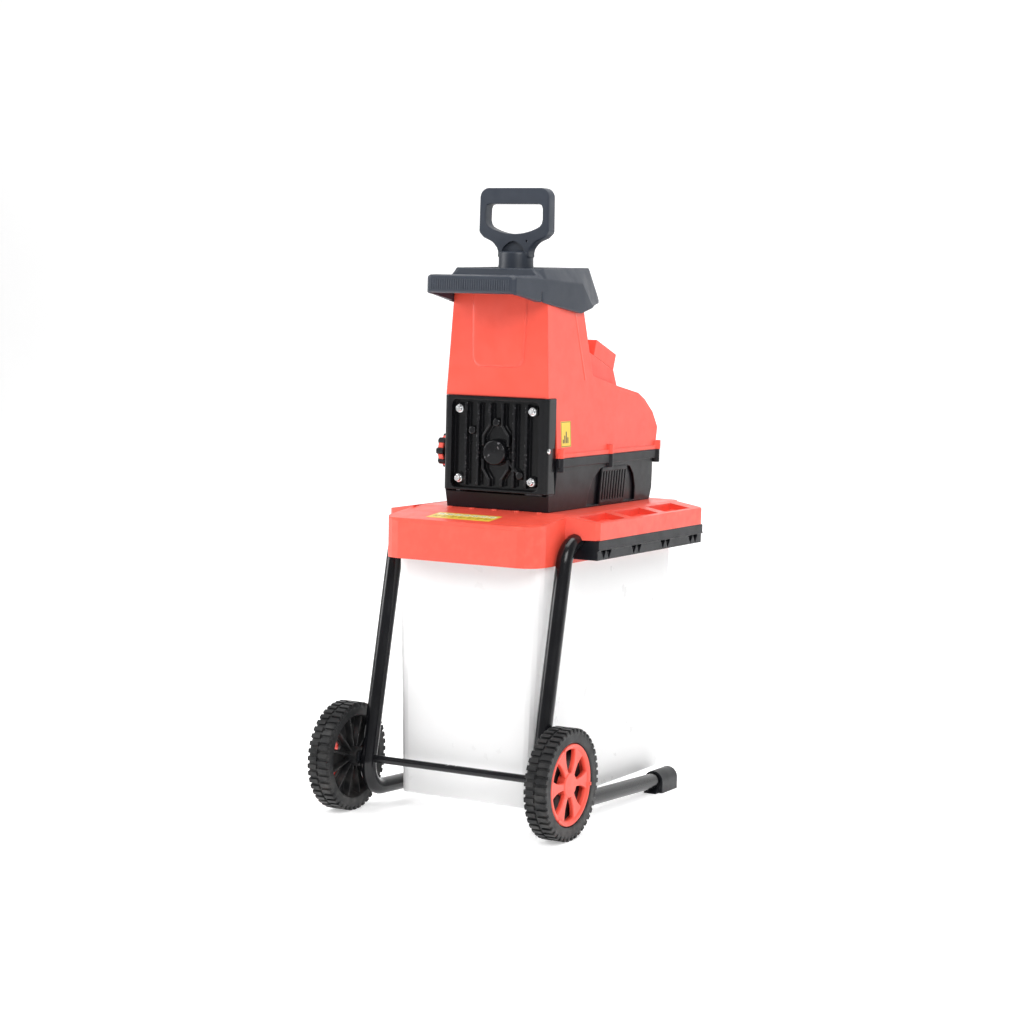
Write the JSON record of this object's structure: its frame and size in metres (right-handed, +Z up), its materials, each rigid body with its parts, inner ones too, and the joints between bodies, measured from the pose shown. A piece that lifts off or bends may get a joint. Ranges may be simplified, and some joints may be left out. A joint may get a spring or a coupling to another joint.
{
  "type": "wood chipper",
  "caption": "Electric garden shredder with a red hopper tower, geared cutting roller, wheeled tube frame and a pull-out collection box.",
  "frame": {"origin": "on the floor, in the middle of the footprint", "axes": "+X to the right seen from the front, +Y to the rear, +Z up"},
  "size_m": [0.418, 0.588, 0.975],
  "materials": {
    "red_plastic": "fine moulded satin",
    "grey_plastic": "fine grained",
    "black_plastic": "fine grained",
    "tube_paint": "gloss powder coat",
    "wheel_plastic": "satin moulded tread",
    "box_plastic": "translucent white",
    "cover_paint": "black coated casting",
    "steel": "machined",
    "tool_steel": "hardened and ground",
    "zinc": "zinc plated",
    "cast_aluminium": "as cast",
    "copper": "varnished copper wire",
    "green_plastic": "moulded",
    "stop_red": "moulded"
  },
  "bodies": {
    "chassis": {"tray": "red_plastic", "upper_housing": "red_plastic", "control_panel": "red_plastic", "hopper_hood": "grey_plastic", "start_capacitor": "grey_plastic", "foot_cap_left": "black_plastic", "foot_cap_right": "black_plastic", "rail_left": "black_plastic", "rail_right": "black_plastic", "base_housing": "black_plastic", "axle_spacer_left": "black_plastic", "axle_spacer_right": "black_plastic", "switch_block": "black_plastic", "power_inlet": "black_plastic", "frame_tube_left": "tube_paint", "frame_tube_right": "tube_paint", "axle": "tube_paint", "front_cover": "cover_paint", "drum_bearing_front": "steel", "drum_bearing_rear": "steel", "gearbox_plate": "steel", "axle_clip_left": "zinc", "axle_clip_right": "zinc", "cover_bolt_1": "zinc", "cover_bolt_2": "zinc", "cover_bolt_3": "zinc", "cover_bolt_4": "zinc", "rail_screw_left": "zinc", "rail_screw_right": "zinc", "cutter_housing": "cast_aluminium", "gearbox_housing": "cast_aluminium", "motor_stator": "cast_aluminium", "motor_bracket": "cast_aluminium", "stator_winding_front": "copper", "stator_winding_rear": "copper"},
    "wheel_left": {"wheel_left": "wheel_plastic", "hub_cap_left": "red_plastic"},
    "wheel_right": {"wheel_right": "wheel_plastic", "hub_cap_right": "red_plastic"},
    "collection_box": {"collection_box": "box_plastic"},
    "box_latch": {"box_latch": "black_plastic"},
    "pusher": {"pusher_handle": "grey_plastic", "pusher_paddle": "grey_plastic"},
    "cutter_roller": {"cutter_drum": "tool_steel", "drum_shaft": "steel", "drum_gear": "steel"},
    "low_cluster": {"low_gear_cluster": "steel"},
    "high_cluster": {"high_gear_cluster": "steel"},
    "motor_armature": {"motor_rotor": "steel", "motor_pinion": "steel", "cooling_fan": "black_plastic"},
    "adjusting_knob": {"adjusting_knob": "black_plastic", "adjusting_screw": "zinc"},
    "pressure_plate": {"pressure_plate": "cast_aluminium"},
    "start_button": {"start_button": "green_plastic"},
    "stop_button": {"stop_button": "stop_red"},
    "overload_button": {"overload_button": "black_plastic"},
    "direction_selector": {"direction_selector": "black_plastic"}
  },
  "joints": [
    {"name": "wheel_left_spin", "type": "hinge", "parent": "chassis", "child": "wheel_left", "pos_m": [-0.191, -0.209, 0.085], "axis": [1, 0, 0], "continuous": true},
    {"name": "wheel_right_spin", "type": "hinge", "parent": "chassis", "child": "wheel_right", "pos_m": [0.191, -0.209, 0.085], "axis": [1, 0, 0], "continuous": true},
    {"name": "box_slide", "type": "slide", "parent": "chassis", "child": "collection_box", "axis": [0, 1, 0], "range_m": [0, 0.45]},
    {"name": "latch_slide", "type": "slide", "parent": "chassis", "child": "box_latch", "axis": [0, 0, -1], "range_m": [0, 0.012]},
    {"name": "pusher_slide", "type": "slide", "parent": "chassis", "child": "pusher", "axis": [0, 0, 1], "range_m": [0, 0.195]},
    {"name": "roller_spin", "type": "hinge", "parent": "chassis", "child": "cutter_roller", "pos_m": [0, -0.02, 0.565], "axis": [0, 1, 0], "continuous": true},
    {"name": "low_cluster_spin", "type": "hinge", "parent": "chassis", "child": "low_cluster", "pos_m": [0.03643, 0.05, 0.6233], "axis": [0, 1, 0], "continuous": true},
    {"name": "high_cluster_spin", "type": "hinge", "parent": "chassis", "child": "high_cluster", "pos_m": [0.03657, 0.06, 0.5733], "axis": [0, 1, 0], "continuous": true},
    {"name": "motor_spin", "type": "hinge", "parent": "chassis", "child": "motor_armature", "pos_m": [0, 0.15, 0.565], "axis": [0, 1, 0], "continuous": true},
    {"name": "plate_slide", "type": "slide", "parent": "chassis", "child": "pressure_plate", "axis": [1, 0, 0], "range_m": [-0.0045, 0.001]},
    {"name": "knob_turn", "type": "hinge", "parent": "pressure_plate", "child": "adjusting_knob", "pos_m": [-0.11, -0.054, 0.561], "axis": [1, 0, 0], "range_deg": [-1100, 252]},
    {"name": "start_button_press", "type": "slide", "parent": "chassis", "child": "start_button", "axis": [0, -0.3338, -0.9426], "range_m": [0, 0.003], "stiffness_N_per_m": 600, "springref_m": -0.002},
    {"name": "stop_button_press", "type": "slide", "parent": "chassis", "child": "stop_button", "axis": [0, -0.3338, -0.9426], "range_m": [0, 0.003], "stiffness_N_per_m": 600, "springref_m": -0.002},
    {"name": "overload_button_press", "type": "slide", "parent": "chassis", "child": "overload_button", "axis": [0, -0.3338, -0.9426], "range_m": [0, 0.0025], "stiffness_N_per_m": 600, "springref_m": -0.002},
    {"name": "selector_turn", "type": "hinge", "parent": "chassis", "child": "direction_selector", "pos_m": [0.032, 0.15777, 0.72667], "axis": [0, 0.3338, 0.9426], "range_deg": [-45, 45]}
  ],
  "couplings": [
    {"joint": "low_cluster_spin", "follows": "roller_spin", "ratio": -4},
    {"joint": "high_cluster_spin", "follows": "roller_spin", "ratio": 16},
    {"joint": "motor_spin", "follows": "roller_spin", "ratio": -64},
    {"joint": "knob_turn", "follows": "plate_slide", "rad_per_m": 4188.8}
  ]
}
